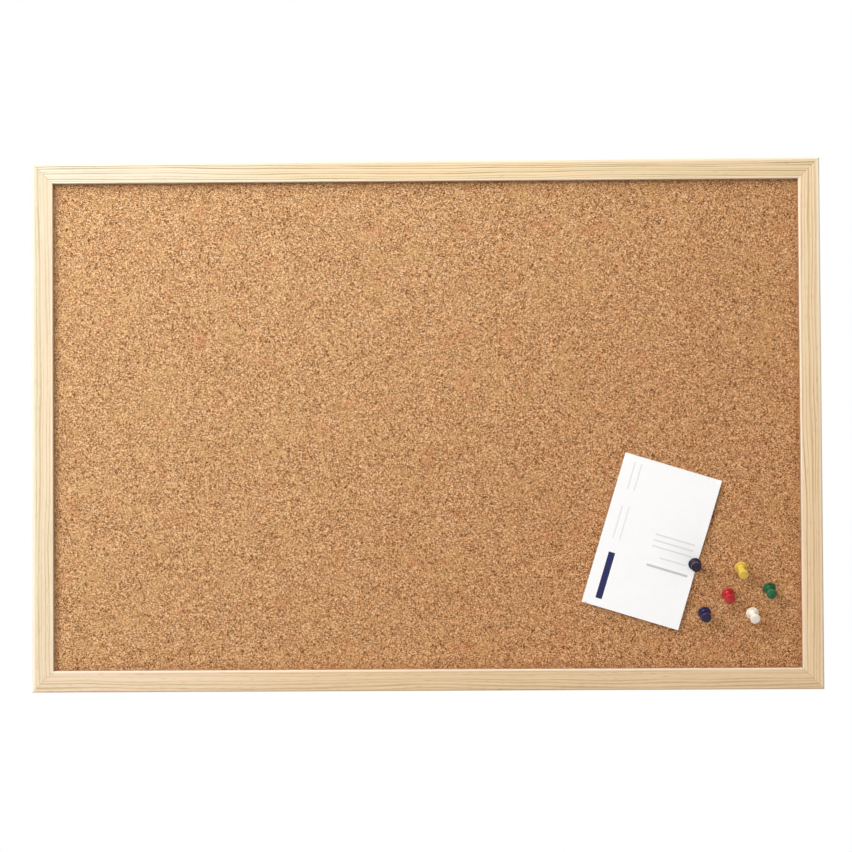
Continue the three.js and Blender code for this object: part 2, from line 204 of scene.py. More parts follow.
# Print on the card: a box, low and high in millimetres across and along it, whether its lines run along
# the card, their spacing and thickness, and the ink and its share
grey_ink = srgb(120, 120, 130)
card_print = {
    "bar": ((9, 14, 6, 42), True, 60, 50, srgb(32, 34, 88), 1.0),
    "upper_side_lines": ((8.5, 16.5, 91, 112), True, 5.2, 1.1, grey_ink, 0.2),
    "lower_side_lines": ((8.5, 16.5, 53, 78), True, 5.2, 1.1, grey_ink, 0.2),
    "three_lines": ((39, 70, 55, 66), False, 4.5, 1.1, grey_ink, 0.25),
    "short_line": ((47, 68, 47.6, 49), False, 9, 1.0, grey_ink, 0.25),
    "strong_line": ((39, 71, 39.8, 42), False, 9, 1.7, grey_ink, 0.5),
}

# For each rail: upright or not, its seed, where its pith lies behind and across and its rings' width, in
# millimetres, how dark their late wood is, and its tone at its left or lower end and towards the other end.
# These tones hold painted light and shade, set rail by rail and along each rail to how bright it looks lit
pine_rails = {
    "frame_rail_top": (False, 1.3, (26, 74), 1.7, 2.1, srgb(229, 222, 199), srgb(236, 213, 170)),
    "frame_rail_bottom": (False, 4.1, (38, -58), 2.2, 0.8, srgb(236, 214, 183), srgb(231, 203, 163)),
    "frame_stile_left": (True, 7.7, (22, 82), 2.3, 1.1, srgb(235, 217, 185), srgb(221, 208, 177)),
    "frame_stile_right": (True, 11.2, (44, -70), 1.9, 1.3, srgb(245, 216, 176), srgb(251, 226, 186)),
}

# How close the wires of the hardboard press's screen are, as the wave texture counts them
screen_wires = 190.0

# How much of the pale early wood's red, green and blue its darker late wood keeps
late_wood_shares = (0.6, 0.52, 0.34)

# How far its rings stray from true circles
pine_wander = 7 * mm

# What tints the pine, with the painted highlights that pale its outer and inner arrises, and how the painted
# highlight on its outer arris falls off down and to the right, away from the lamps
pine_tints = {
    "broad": srgb(214, 178, 132),
    "fibre": srgb(196, 160, 112),
    "canals": srgb(150, 108, 62),
    "blush": srgb(250, 216, 186),
    "painted_outer_arris_highlight": srgb(254, 248, 232),
    "painted_inner_arris_highlight": srgb(255, 244, 226),
}
painted_highlight_span = (100 * mm, 400 * mm)
painted_highlight_shares = (0.7, 0.25)

# How deep the relief of each surface is
pine_relief = 0.07 * mm
cork_relief = 0.08 * mm
plastic_relief = 0.02 * mm
metal_relief = 0.012 * mm
card_relief = 0.01 * mm

# How far a pattern moves, in its own cells, for each unit of its seed
seed_stride = 37.3


def feed(tree, sockets, values):
    """Links each named or numbered socket to another, or sets its value."""
    for name, value in values.items():
        if isinstance(value, bpy.types.NodeSocket):
            tree.links.new(value, sockets[name])
        else:
            sockets[name].default_value = value


def node(tree, kind, inputs=None, **settings):
    made = tree.nodes.new(kind)
    for name, value in settings.items():
        setattr(made, name, value)
    feed(tree, made.inputs, inputs or {})
    return made


def linked(kind, inputs, **settings):
    """The outputs of a new node in the tree of the sockets that it is linked to."""
    tree = next(value.id_data for value in inputs.values() if isinstance(value, bpy.types.NodeSocket))
    return node(tree, kind, inputs, **settings).outputs


def calc(operation, *values):
    return linked("ShaderNodeMath", dict(enumerate(values)), operation=operation)[0]


def vector_calc(operation, *values):
    return linked("ShaderNodeVectorMath", dict(enumerate(values)), operation=operation)[0]


def parts_of(vector):
    return linked("ShaderNodeSeparateXYZ", {"Vector": vector})


def ramp(value, low, high, start=0.0, end=1.0):
    """A smooth step from start to end as value goes from low to high."""
    inputs = {"Value": value, "From Min": low, "From Max": high, "To Min": start, "To Max": end}
    return linked("ShaderNodeMapRange", inputs, interpolation_type="SMOOTHSTEP")["Result"]


def mixed(share, first, second, blend="MIX"):
    """Two colours blended; a Mix node takes its colours at its inputs 6 and 7, and gives one at output 2."""
    inputs = {0: share, 6: first, 7: second}
    return linked("ShaderNodeMix", inputs, data_type="RGBA", blend_type=blend)[2]


def tinted(colour, mask, share, tint):
    """The colour mixed with a tint by that share where the mask is one."""
    return mixed(calc("MULTIPLY", mask, share), colour, tint)


def clouded(colour, pattern, low, high, share, tint):
    """The colour going over to a tint, by that share at most, as a pattern goes from low to high."""
    return mixed(ramp(pattern, low, high, 0.0, share), colour, tint)


def evenly(scale):
    """A number as a vector's three parts; a vector or a socket stays as it is."""
    return (scale,) * 3 if isinstance(scale, float) else scale


def moved(vector, scale, seed):
    """The vector enlarged, and moved a long way by the seed, so that no two patterns are alike."""
    shift = node(vector.id_data, "ShaderNodeMath", {0: seed, 1: seed_stride}, operation="MULTIPLY").outputs[0]
    return vector_calc("MULTIPLY_ADD", vector, evenly(scale), shift)


def swayed(place, scale, reach):
    """The place shifted at random, by half the reach at most, so that what is drawn there gets ragged."""
    sway = linked("ShaderNodeTexNoise", {"Vector": place, "Scale": scale, "Detail": 1.0})["Color"]
    shift = vector_calc("SUBTRACT", sway, evenly(0.5))
    return vector_calc("MULTIPLY_ADD", shift, evenly(reach), place)


def noise(vector, scale, detail=2.0, roughness=0.5, seed=0.0):
    place = moved(vector, scale, seed)
    inputs = {"Vector": place, "Scale": 1.0, "Detail": detail, "Roughness": roughness}
    return linked("ShaderNodeTexNoise", inputs)["Fac"]


def cells(vector, scale, feature, seed):
    """Irregular cells: each one's colour is random, and distance runs from its middle or its edge."""
    inputs = {"Vector": moved(vector, scale, seed), "Scale": 1.0}
    return linked("ShaderNodeTexVoronoi", inputs, feature=feature)


def new_tree(kind, name, inputs, outputs):
    """An empty node tree with those sockets, and its inner ends."""
    tree = bpy.data.node_groups.new(name, kind)
    for in_out, sockets in (("INPUT", inputs), ("OUTPUT", outputs)):
        for label, socket in sockets.items():
            tree.interface.new_socket(name=label, in_out=in_out, socket_type="NodeSocket" + socket)
    return tree, node(tree, "NodeGroupInput").outputs, node(tree, "NodeGroupOutput").inputs


def group(name, vectors, numbers, outputs):
    """An empty shader group that takes vectors and numbers, and puts out numbers."""
    inputs = dict.fromkeys(vectors, "Vector") | dict.fromkeys(numbers, "Float")
    return new_tree("ShaderNodeTree", name, inputs, dict.fromkeys(outputs, "Float"))


def use(used_group, inputs):
    return linked("ShaderNodeGroup", inputs, node_tree=used_group)


def material(name):
    """A new material, and the place of each point on the piece."""
    made = bpy.data.materials.new(name)
    made.use_nodes = True
    made.node_tree.nodes.clear()
    return made, node(made.node_tree, "ShaderNodeTexCoord").outputs["Object"]


def surfaced(made, colour, roughness, height=None, depth=0.0, more=None):
    """The material with its Principled shader, and a relief where a height is given."""
    tree = made.node_tree
    inputs = {"Base Color": colour, "Roughness": roughness} | (more or {})
    if height is not None:
        relief = {"Height": height, "Distance": depth, "Strength": 1.0}
        inputs["Normal"] = node(tree, "ShaderNodeBump", relief).outputs[0]
    shader = node(tree, "ShaderNodeBsdfPrincipled", inputs)
    node(tree, "ShaderNodeOutputMaterial", {"Surface": shader.outputs[0]})
    return made


def growth_rings():
    """Softwood's growth rings round a pith line that runs along X, and the fibres between them."""
    tree, given, out = group("growth_rings", ["Place"],
                             ["Ring Width", "Pith Behind", "Pith Across", "Wander", "Seed"],
                             ["Late Wood", "Fibre", "Canals", "Height"])
    place, seed = given["Place"], given["Seed"]
    apart = parts_of(place)
    behind = calc("SUBTRACT", apart["Y"], given["Pith Behind"])
    across = calc("SUBTRACT", apart["Z"], given["Pith Across"])
    squares = calc("ADD", calc("MULTIPLY", behind, behind), calc("MULTIPLY", across, across))
    drift = calc("SUBTRACT", noise(place, (7, 40, 40), seed=seed), 0.5)
    radius = calc("MULTIPLY_ADD", drift, given["Wander"], calc("SQRT", squares))
    even = calc("DIVIDE", radius, given["Ring Width"])
    uneven = {"W": calc("MULTIPLY_ADD", even, 0.6, seed), "Scale": 1.0, "Detail": 1.0}
    years = linked("ShaderNodeTexNoise", uneven, noise_dimensions="1D")["Fac"]
    phase = calc("MULTIPLY_ADD", years, 1.1, even)
    through = calc("FRACT", phase)
    rise = ramp(through, 0.4, 0.82)
    fall = ramp(through, 0.82, 1.0, 1.0, 0.0)
    year = {"W": calc("ADD", calc("FLOOR", phase), seed)}
    strength = linked("ShaderNodeTexWhiteNoise", year, noise_dimensions="1D")["Value"]
    line = calc("MULTIPLY", calc("MULTIPLY", rise, fall), calc("MULTIPLY_ADD", strength, 0.6, 0.4))
    patchy = noise(place, (22, 260, 260), 1.0, seed=calc("ADD", seed, 9.0))
    line = calc("MULTIPLY", line, ramp(patchy, 0.3, 0.65, 0.55, 1.0))
    fibre = noise(place, (26, 1500, 1500), 3.0, 0.6, seed)
    canals = noise(place, (130, 2600, 2600), 0.0, seed=calc("ADD", seed, 5.0))
    feed(tree, out, {"Late Wood": line, "Fibre": fibre, "Canals": ramp(canals, 0.7, 0.76),
                     "Height": calc("MULTIPLY_ADD", line, 0.5, fibre)})
    return tree


def cork_granules():
    """Pressed cork granules: a random tone for each, dark seams between them, and a height."""
    tree, given, out = group("cork_granules", ["Place"], ["Granule Width", "Warp", "Seed"],
                             ["Tone", "Seam", "Height"])
    bent = swayed(given["Place"], 420.0, given["Warp"])
    size = calc("DIVIDE", 1.0, given["Granule Width"])
    granule = cells(bent, size, "F1", given["Seed"])
    edge = cells(bent, size, "DISTANCE_TO_EDGE", given["Seed"])
    tone = linked("ShaderNodeSeparateColor", {"Color": granule["Color"]})["Red"]
    seam = ramp(edge["Distance"], 0.0, 0.16, 1.0, 0.0)
    feed(tree, out, {"Tone": tone, "Seam": seam, "Height": calc("MULTIPLY_ADD", seam, -0.8, tone)})
    return tree


def scattered_specks():
    """Specks of random size, one at most in each irregular cell, longer than wide."""
    tree, given, out = group("scattered_specks", ["Place"], ["Spacing", "Largest", "Seed"], ["Mask"])
    size = calc("DIVIDE", 1.0, given["Spacing"])
    longer = vector_calc("MULTIPLY", swayed(given["Place"], 900.0, 0.9 * mm), (1.0, 0.7, 1.3))
    cell = cells(longer, size, "F1", given["Seed"])
    chance = linked("ShaderNodeSeparateColor", {"Color": cell["Color"]})["Green"]
    reach = calc("MULTIPLY", chance, given["Largest"])
    mask = ramp(cell["Distance"], calc("MULTIPLY", reach, 0.8), reach, 1.0, 0.0)
    feed(tree, out, {"Mask": mask})
    return tree


def moulded_skin():
    """The skin of a moulded plastic piece: faint flow marks, fine scuffs and a slight waviness."""
    tree, given, out = group("moulded_skin", ["Place"], ["Seed"], ["Flow", "Scuffs", "Height"])
    place, seed = given["Place"], given["Seed"]
    fine = noise(place, (5700, 1900, 1900), 3.0, 0.7, seed)
    wavy = noise(place, 700.0, 1.0, seed=calc("ADD", seed, 3.0))
    feed(tree, out, {"Flow": noise(place, 260.0, seed=seed), "Scuffs": ramp(fine, 0.52, 0.75),
                     "Height": calc("MULTIPLY_ADD", fine, 0.15, wavy)})
    return tree


def drawn_metal():
    """Sheet or wire steel: clouding of the plating and fine scratches along one direction."""
    tree, given, out = group("drawn_metal", ["Place", "Stretch"], ["Seed"], ["Cloud", "Scratches", "Height"])
    cloud = noise(given["Place"], 350.0, 3.0, 0.6, given["Seed"])
    lines = noise(given["Place"], given["Stretch"], 3.0, 0.7, given["Seed"])
    feed(tree, out, {"Cloud": cloud, "Scratches": ramp(lines, 0.45, 0.7), "Height": lines})
    return tree


def pressed_fibre():
    """Pressed wood or paper fibre: short fibres lying in two directions, and soft clouding."""
    tree, given, out = group("pressed_fibre", ["Place"], ["Fibre Width", "Seed"],
                             ["Fibre", "Cloud", "Height"])
    size = calc("DIVIDE", 1.0, given["Fibre Width"])
    place, seed = given["Place"], given["Seed"]
    flat, upright = (noise(vector_calc("MULTIPLY", place, lie), size, 2.0, 0.6, own_seed)
                     for lie, own_seed in (((0.12, 1, 1), seed), ((1, 1, 0.12), calc("ADD", seed, 2.0))))
    fibre = calc("MAXIMUM", flat, upright)
    cloud = noise(place, calc("MULTIPLY", size, 0.04), 3.0, 0.6, seed)
    feed(tree, out, {"Fibre": ramp(fibre, 0.45, 0.75), "Cloud": cloud, "Height": fibre})
    return tree


def printed_rules():
    """Evenly spaced rules within a box, across the first of two directions that are in metres."""
    numbers = ["Across", "Along", "Left", "Right", "Low", "High", "Spacing", "Thickness"]
    tree, given, out = group("printed_rules", [], numbers, ["Mask"])
    rise = calc("SUBTRACT", given["Along"], given["Low"])
    row = calc("MULTIPLY", calc("FRACT", calc("DIVIDE", rise, given["Spacing"])), given["Spacing"])
    mask = calc("LESS_THAN", row, given["Thickness"])
    for value, low, high in (("Across", "Left", "Right"), ("Along", "Low", "High")):
        mask = calc("MULTIPLY", mask, calc("GREATER_THAN", given[value], given[low]))
        mask = calc("MULTIPLY", mask, calc("LESS_THAN", given[value], given[high]))
    feed(tree, out, {"Mask": mask})
    return tree


rings_group = growth_rings()
granules_group = cork_granules()
specks_group = scattered_specks()
skin_group = moulded_skin()
metal_group = drawn_metal()
fibre_group = pressed_fibre()
rules_group = printed_rules()


def inside_window(apart):
    """How far a place is inside the frame's window, from its parts; less than nothing on the frame."""
    inside = [calc("SUBTRACT", edge, calc("ABSOLUTE", apart[label]))
              for label, edge in (("X", visible_half_width), ("Z", visible_half_height))]
    return calc("MINIMUM", *inside)


def pine(name, middle, upright, seed, pith, ring_width, depth, tone, far_tone):
    """Pale planed pine, its grain along one side of the frame, its tone along it holding painted light and
    shade, and painted highlights paling the front's two arrises.
    """
    made, place = material(name)
    turn = math.radians(90) if upright else 0.0
    inwards = vector_calc("SUBTRACT", place, middle)
    along = linked("ShaderNodeMapping", {"Vector": inwards, "Rotation": (0.0, turn, 0.0)})[0]
    grain = use(rings_group, {"Place": along, "Ring Width": ring_width * mm, "Pith Behind": pith[0] * mm,
                              "Pith Across": pith[1] * mm, "Wander": pine_wander, "Seed": seed})
    # Painted light and shade: the early wood goes from one tone to the other along the rail, as the light on
    # it changes
    start, end = (-visible_half_height, visible_half_height) if upright else (-visible_half_width, 0.0)
    early = mixed(ramp(parts_of(along)["X"], start, end), tone, far_tone)
    late = mixed(1.0, early, tuple(share ** depth for share in late_wood_shares) + (1.0,), "MULTIPLY")
    colour = mixed(grain["Late Wood"], early, late)
    broad = noise(along, (5, 60, 60), seed=seed + 1)
    colour = clouded(colour, broad, 0.3, 0.7, 0.16, pine_tints["broad"])
    colour = clouded(colour, grain["Fibre"], 0.35, 0.75, 0.16, pine_tints["fibre"])
    colour = tinted(colour, grain["Canals"], 0.3, pine_tints["canals"])
    blush = noise(along, (9, 300, 300), 1.0, seed=seed + 3)
    colour = clouded(colour, blush, 0.45, 0.7, 0.25, pine_tints["blush"])
    apart = parts_of(place)
    beyond = [calc("SUBTRACT", calc("ABSOLUTE", apart["X"]), rail_high.x),
              calc("SUBTRACT", apart["Z"], rail_high.z)]
    arris = calc("SUBTRACT", calc("MAXIMUM", *beyond), calc("SUBTRACT", apart["Y"], rail_low.y))
    # Painted highlight: the outer arris paler, most at the top left and less down and to the right, and not
    # along the bottom edge
    low_right = calc("SUBTRACT", apart["X"], apart["Z"])
    share = ramp(low_right, *painted_highlight_span, *painted_highlight_shares)
    colour = clouded(colour, arris, -3.6 * mm, -0.4 * mm, share, pine_tints["painted_outer_arris_highlight"])
    # Painted highlight: the inner arris and the lip's inner faces paler
    inner = inside_window(apart)
    colour = clouded(colour, inner, -1.9 * mm, -0.5 * mm, 0.5, pine_tints["painted_inner_arris_highlight"])
    roughness = ramp(grain["Fibre"], 0.3, 0.8, 0.5, 0.68)
    return surfaced(made, colour, roughness, grain["Height"], pine_relief, {"Specular IOR Level": 0.35})


def cork():
    """The cork face: coarse and fine granules, dark and pale specks, and soft clouding of three colours."""
    made, place = material("pressed_cork")
    coarse, fine = (use(granules_group, {"Place": place, "Granule Width": width, "Warp": warp, "Seed": seed})
                    for width, warp, seed in cork_granule_kinds)
    both = calc("MULTIPLY", coarse["Tone"], 1 - fine_granule_share)
    tone = calc("MULTIPLY_ADD", fine["Tone"], fine_granule_share, both)
    colour = mixed(ramp(tone, 0.25, 0.7), cork_tints["dark"], cork_tints["pale"])
    colour = tinted(colour, coarse["Seam"], 0.12, cork_tints["seam"])
    largest = ramp(noise(place, 160.0, 1.0, seed=6.0), 0.35, 0.65, 0.32, 0.62)
    dark, pale = (use(specks_group, {"Place": place, "Spacing": gap, "Largest": reach, "Seed": seed})["Mask"]
                  for gap, reach, seed in ((1.35 * mm, largest, 2.0), (2.1 * mm, 0.4, 7.0)))
    colour = tinted(colour, dark, 0.85, cork_tints["dark_speck"])
    colour = tinted(colour, pale, 0.65, cork_tints["pale_speck"])
    for scale, detail, seed, low, high, share, tint in cork_clouds.values():
        colour = clouded(colour, noise(place, scale, detail, 0.6, seed), low, high, share, tint)
    apart = parts_of(place)
    # Painted shade: the cork darker and warmer down and to the right, as the lamps' light falls off
    low_right = calc("SUBTRACT", apart["X"], apart["Z"])
    painted_falloff = mixed(ramp(low_right, *cork_painted_falloff_span), white, cork_painted_falloff)
    colour = mixed(1.0, colour, painted_falloff, "MULTIPLY")
    # Painted shade: the cork darkens over its last few millimetres towards the frame, where the lip's shadow
    # falls
    rim = ramp(inside_window(apart), *cork_painted_shade_span, cork_rim_painted_shade, 0.0)
    colour = mixed(rim, colour, cork_tints["rim"])
    height = calc("MULTIPLY_ADD", fine["Height"], 0.5, coarse["Height"])
    height = calc("MULTIPLY_ADD", dark, -0.6, height)
    roughness = ramp(fine["Tone"], 0.0, 1.0, 0.82, 0.96)
    return surfaced(made, colour, roughness, height, cork_relief, {"Specular IOR Level": 0.25})


def crumb(name, dark, pale):
    """A loose-looking granule on the cork face, its tone picked by the tint that it carries."""
    made, place = material(name)
    tint = node(made.node_tree, "ShaderNodeAttribute", attribute_name="tint").outputs["Fac"]
    grain = use(granules_group, {"Place": place, "Granule Width": 0.7 * mm, "Warp": 0.4 * mm, "Seed": 8.0})
    colour = mixed(tint, dark, pale)
    colour = mixed(ramp(grain["Tone"], 0.0, 1.0, 0.25, 0.0), colour, dark)
    roughness = ramp(grain["Tone"], 0.0, 1.0, 0.8, 0.95)
    return surfaced(made, colour, roughness, grain["Height"], cork_relief, {"Specular IOR Level": 0.25})


def plastic(name, colour, shade, seed, glow=0.0):
    """Glossy moulded plastic: the colour drifts a little towards a shade where the melt flowed."""
    made, place = material(name)
    skin = use(skin_group, {"Place": place, "Seed": seed})
    base = mixed(ramp(skin["Flow"], 0.35, 0.7), colour, shade)
    base = tinted(base, skin["Scuffs"], 0.06, white)
    roughness = calc("MULTIPLY_ADD", skin["Scuffs"], 0.2, 0.1)
    inner_glow = {"IOR": 1.5, "Subsurface Weight": glow, "Subsurface Radius": (1.0, 0.8, 0.5),
                  "Subsurface Scale": 1.6 * mm}
    return surfaced(made, base, roughness, skin["Height"], plastic_relief, inner_glow)


def metal(name, colour, stain, stretch, roughness, seed):
    """Bare or plated steel with clouding, a faint stain and fine scratches."""
    made, place = material(name)
    skin = use(metal_group, {"Place": place, "Stretch": stretch, "Seed": seed})
    base = clouded(colour, skin["Cloud"], 0.4, 0.75, 0.7, stain)
    base = tinted(base, skin["Scratches"], 0.2, white)
    rough = calc("MULTIPLY_ADD", skin["Cloud"], 0.25, roughness)
    rough = calc("MULTIPLY_ADD", skin["Scratches"], 0.1, rough)
    return surfaced(made, base, rough, skin["Height"], metal_relief, {"Metallic": 1.0})


def fibreboard(name, dark, pale, fibre_width, depth, seed, screen=0.0):
    """Pressed board; a screen is the share of its relief that the press's wire screen has left."""
    made, place = material(name)
    mat = use(fibre_group, {"Place": place, "Fibre Width": fibre_width, "Seed": seed})
    colour = mixed(ramp(mat["Cloud"], 0.0, 1.0, 0.3, 0.7), dark, pale)
    colour = tinted(colour, mat["Fibre"], 0.5, pale)
    specks = noise(place, 900.0, 1.0, seed=seed + 2)
    colour = clouded(colour, specks, 0.66, 0.74, 0.6, tuple(part * 0.35 for part in dark[:3]) + (1.0,))
    wire_inputs = {"Vector": place, "Scale": screen_wires, "Distortion": 0.4}
    wires = [linked("ShaderNodeTexWave", wire_inputs, bands_direction=way)["Fac"] for way in ("X", "Z")]
    woven = calc("MULTIPLY", calc("MULTIPLY", *wires), screen)
    relief = calc("MULTIPLY_ADD", mat["Height"], 1 - screen, woven)
    return surfaced(made, colour, ramp(mat["Fibre"], 0.0, 1.0, 0.62, 0.85), relief, depth)


def card_stock():
    """Smooth white card with faint fibre, a plain navy bar and a few pale grey lines."""
    made, place = material("white_card")
    mat = use(fibre_group, {"Place": place, "Fibre Width": 0.25 * mm, "Seed": 3.0})
    paper = mixed(ramp(mat["Cloud"], 0.3, 0.7), srgb(253, 253, 252), srgb(255, 255, 254))
    paper = tinted(paper, mat["Fibre"], 0.02, srgb(215, 215, 210))
    spot = parts_of(node(made.node_tree, "ShaderNodeTexCoord").outputs["UV"])
    for box, lengthwise, spacing, thickness, ink, strength in card_print.values():
        sides = ("Low", "High", "Left", "Right") if lengthwise else ("Left", "Right", "Low", "High")
        inputs = {side: value * mm for side, value in zip(sides, box)}
        inputs |= {"Across": spot["Y" if lengthwise else "X"], "Along": spot["X" if lengthwise else "Y"],
                   "Spacing": spacing * mm, "Thickness": thickness * mm}
        paper = tinted(paper, use(rules_group, inputs)["Mask"], strength, ink)
    return surfaced(made, paper, ramp(mat["Fibre"], 0.0, 1.0, 0.5, 0.62), mat["Height"], card_relief)


def middle_of(name):
    low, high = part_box(name)
    return (low + high) / 2


finishes = {
    "cork": cork(),
    "pale_crumb": crumb("pale_cork_crumb", srgb(210, 160, 108), srgb(244, 198, 148)),
    "dark_fleck": crumb("dark_cork_fleck", srgb(112, 64, 26), srgb(166, 112, 64)),
    "softboard": fibreboard("soft_core_board", srgb(158, 132, 96), srgb(190, 166, 128),
                            0.5 * mm, 0.12 * mm, 5.0),
    "hardboard": fibreboard("pressed_hardboard", srgb(108, 72, 44), srgb(156, 113, 76),
                            0.6 * mm, 0.08 * mm, 9.0, 0.6),
    "steel": metal("drawn_steel", srgb(186, 188, 192), srgb(150, 148, 146), (90, 2400, 2400), 0.22, 1.0),
    "zinc": metal("zinc_plated_steel", srgb(205, 208, 212), srgb(176, 180, 184),
                  (1800, 1800, 120), 0.26, 2.0),
    "needle": metal("bright_needle_steel", srgb(214, 215, 218), srgb(182, 182, 184),
                    (2400, 60, 2400), 0.12, 3.0),
    "card": card_stock(),
    "black_navy": plastic("black_navy_plastic", srgb(38, 24, 50), srgb(26, 16, 36), 6.0),
    "navy": plastic("navy_plastic", srgb(36, 28, 76), srgb(24, 18, 50), 1.0),
    "yellow": plastic("yellow_plastic", srgb(236, 206, 90), srgb(222, 184, 66), 2.0, 0.35),
    "green": plastic("green_plastic", srgb(26, 110, 62), srgb(12, 72, 42), 3.0, 0.1),
    "red": plastic("red_plastic", srgb(198, 34, 38), srgb(166, 24, 32), 4.0, 0.1),
    "white": plastic("cream_white_plastic", srgb(250, 240, 226), srgb(242, 228, 210), 5.0, 0.3),
}
for rail_name, values in pine_rails.items():
    finishes[rail_name] = pine("pine_" + rail_name.split("_")[-1], middle_of(rail_name), *values)


def shown(name, data):
    """A new object in the scene."""
    made = bpy.data.objects.new(name, data)
    bpy.context.scene.collection.objects.link(made)
    return made


def piece(name, mesh, finish, body, slot, *replaced):
    """A finished piece: its mesh is already in place, in the board's frame."""
    mesh.materials.clear()
    mesh.materials.append(finishes[finish])
    made = shown(name, mesh)
    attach(made, body)
    if replaced:
        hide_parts(*replaced)


def smoothed(mesh, angle=35):
    """Smooth faces with creases where they meet at more than that angle, in degrees."""
    mesh.shade_smooth()
    mesh.set_sharp_from_angle(angle=math.radians(angle))
    return mesh


def mesh_from(name, shape):
    """A mesh from a bmesh, which is then freed."""
    mesh = bpy.data.meshes.new(name)
    shape.to_mesh(mesh)
    shape.free()
    return mesh


def merged_copy(name):
    """A copy of a CAD node's loose triangles as one joined shape with flat faces kept whole."""
    shape = bmesh.new()
    shape.from_mesh(frame["nodes"][name].data)
    bmesh.ops.remove_doubles(shape, verts=shape.verts, dist=joining_distance)
    bmesh.ops.dissolve_limit(shape, angle_limit=flat_angle, verts=shape.verts, edges=shape.edges)
    return shape


def eased_copy(name):
    """A joined copy of a CAD node's shape with its sharp edges eased."""
    shape = merged_copy(name)
    sharp = [edge for edge in shape.edges if edge.calc_face_angle(0) > eased_angle]
    bmesh.ops.bevel(shape, geom=sharp, offset=steel_edge_ease, segments=2, profile=0.5, affect="EDGES",
                    clamp_overlap=True)
    return shape


def arc(centre, radius, start, end, steps=curve_steps):
    """Points on an arc in the plane of radius and height, between two angles in degrees."""
    angles = [math.radians(start + (end - start) * i / steps) for i in range(steps + 1)]
    return [(centre[0] + radius * math.cos(a), centre[1] + radius * math.sin(a)) for a in angles]


def bend(start, corner, end, steps=curve_steps):
    """Points after start, up to end, on a curve that leaves and arrives in line with corner."""
    shares = [i / steps for i in range(1, steps + 1)]
    return [tuple((1 - t) ** 2 * s + 2 * t * (1 - t) * c + t * t * e for s, c, e in zip(start, corner, end))
            for t in shares]


def around(count):
    """That many angles, evenly round a full turn."""
    return [2 * math.pi * i / count for i in range(count)]


def skin(shape, rings):
    """Faces from each ring of corners to the next, where a ring may be a single corner."""
    sides = max(len(ring) for ring in rings)
    for lower, upper in zip(rings, rings[1:]):
        for i in range(sides):
            j = (i + 1) % sides
            corners = [lower[i % len(lower)], lower[j % len(lower)],
                       upper[j % len(upper)], upper[i % len(upper)]]
            shape.faces.new(list(dict.fromkeys(corners)))


def turned_shape(outline, segments=turning_segments):
    """A shape turned about Z from its outline, and its last ring of corners."""
    shape = bmesh.new()
    rings = []
    for radius, height in outline:
        angles = around(1 if radius < 1e-9 else segments)
        rings.append([shape.verts.new((radius * math.cos(a), radius * math.sin(a), height)) for a in angles])
    skin(shape, rings)
    return shape, rings[-1]


def turned(name, outline):
    """A closed solid turned about Z from its outline, which starts and ends on the axis."""
    shape = turned_shape(outline)[0]
    bmesh.ops.recalc_face_normals(shape, faces=shape.faces)
    return mesh_from(name, shape)


def head_outline():
    """The head from the top of its socket round flange, waist and cap to the moulding gate on top."""
    rim = flange_thickness / 2
    cap_end = head_height - cap_dome
    cap_start = cap_end - cap_thickness
    socket = needle_radius + socket_gap
    waist = (waist_radius, waist_height)
    neck = (neck_radius, cap_start)
    gate = (gate_radius, head_height - gate_height)
    outline = [(0, socket_depth + socket_gap), (socket, socket_depth + socket_gap), (socket, 0)]
    outline += arc((flange_radius - rim, rim), rim, -90, 90)
    outline += bend((flange_radius - rim, flange_thickness), (waist_radius, flange_thickness), waist)
    outline += bend(waist, (waist_radius, cap_start - cap_ease), neck)
    outline += bend(neck, (cap_radius, cap_start), (cap_radius, cap_start + cap_ease))
    outline += arc((cap_radius - cap_ease, cap_end - cap_ease), cap_ease, 0, 90)
    outline += bend((cap_radius - cap_ease, cap_end), (waist_radius / 2, gate[1]), gate)
    outline += bend(gate, (gate_radius, head_height), (0, head_height), 4)
    return outline


def needle_outline():
    point = (needle_tip_radius, -needle_length)
    towards = (needle_radius * 0.7, needle_tip_length * 0.6 - needle_length)
    outline = [(0, -needle_length), point]
    outline += bend(point, towards, (needle_radius, needle_tip_length - needle_length))
    outline += [(needle_radius, socket_depth), (0, socket_depth)]
    return outline


def pin_placement(name):
    """From a pin's own frame, with the underside of its flange at the origin, to the board's."""
    joint = next(joint for joint in frame["joints"] if joint["name"] == f"pin_{name}_pull")
    axis = Vector(joint["axis"]).normalized()
    tip = min((v.co for v in frame["nodes"][f"push_pin_{name}_needle"].data.vertices), key=axis.dot)
    return Matrix.Translation(tip + needle_length * axis) @ axis.to_track_quat("Z", "Y").to_matrix().to_4x4()


def push_pins():
    for name, (colour, colour_slot) in pins.items():
        placement = pin_placement(name)
        body = f"push_pin_{name}"
        for part, outline, finish, slot in (("head", head_outline(), colour, colour_slot),
                                            ("needle", needle_outline(), "needle", "steel")):
            mesh = turned(f"{name}_pin_{part}", outline)
            mesh.transform(placement)
            piece(f"{name}_pin_{part}", smoothed(mesh, 50), finish, body, slot, f"{body}_{part}")


